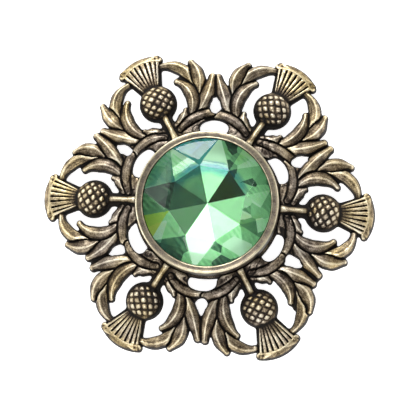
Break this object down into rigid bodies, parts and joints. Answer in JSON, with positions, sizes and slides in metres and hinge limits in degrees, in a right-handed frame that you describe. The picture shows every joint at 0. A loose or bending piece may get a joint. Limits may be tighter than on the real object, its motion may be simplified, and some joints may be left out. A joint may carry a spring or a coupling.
{
  "type": "thistle brooch",
  "caption": "Round domed brooch in pierced antique brass, with thistles and leaves around a green cut stone in a raised setting.",
  "frame": {"origin": "middle of the brooch on the surface that it rests on", "axes": "+Z out through the stone's table, +X along one thistle and the pin, +Y across"},
  "size_m": [0.0474, 0.0428, 0.0079],
  "materials": {
    "antique_brass": "cast, darkened with patina, worn bright on the ridges",
    "setting_brass": "antique, brushed rim with bright edges",
    "green_glass": "polished, faceted, foiled behind",
    "pin_brass": "plain, satin, darkened"
  },
  "bodies": {
    "root": {"thistle_frame": "antique_brass", "bezel_cup": "setting_brass", "stone": "green_glass", "brooch_pin": "pin_brass"}
  },
  "joints": []
}
